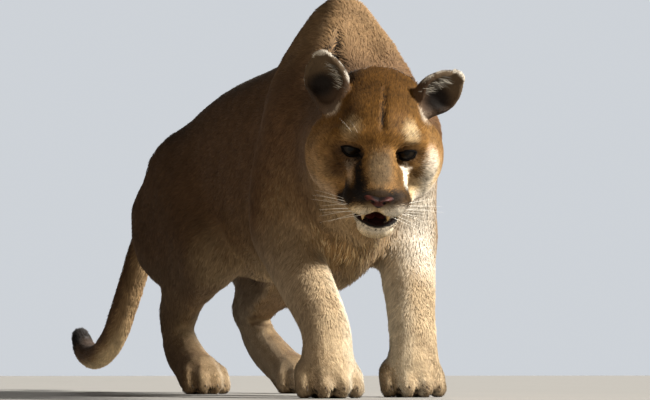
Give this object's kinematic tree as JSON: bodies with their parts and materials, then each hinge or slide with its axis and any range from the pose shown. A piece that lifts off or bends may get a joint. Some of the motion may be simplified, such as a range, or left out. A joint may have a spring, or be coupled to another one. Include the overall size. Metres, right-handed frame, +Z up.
{
  "type": "cougar figure",
  "caption": "Life-size still model of a tawny big cat standing low on four feet, head turned to one side and held low, mouth slightly open.",
  "frame": {"origin": "middle of the base of the whole model, on the floor under it", "axes": "+Z up; the trunk runs along Y, the head towards -Y and the tail towards +Y; the cat's left side is +X"},
  "size_m": [0.4188, 1.8898, 0.6441],
  "materials": {
    "coat": "short dense fur, tawny above and cream below",
    "chin_coat": "short cream fur",
    "eye": "wet, amber iris with a round dark pupil",
    "nose_leather": "moist pebbled skin",
    "mouth_skin": "moist",
    "tooth": "ivory enamel"
  },
  "bodies": {
    "root": {"head": "coat", "jaw": "chin_coat", "nose": "nose_leather", "tongue": "mouth_skin", "tooth_left": "tooth", "tooth_right": "tooth", "eye_left": "eye", "eye_right": "eye", "ear_left": "coat", "ear_right": "coat", "neck": "coat", "torso": "coat", "upper_arm_left": "coat", "upper_arm_right": "coat", "forearm_left": "coat", "forearm_right": "coat", "forepaw_left": "coat", "forepaw_right": "coat", "thigh_left": "coat", "thigh_right": "coat", "shank_left": "coat", "shank_right": "coat", "hindpaw_left": "coat", "hindpaw_right": "coat", "tail_root": "coat", "tail_upper": "coat", "tail_lower": "coat", "tail_tip": "coat"}
  },
  "joints": []
}
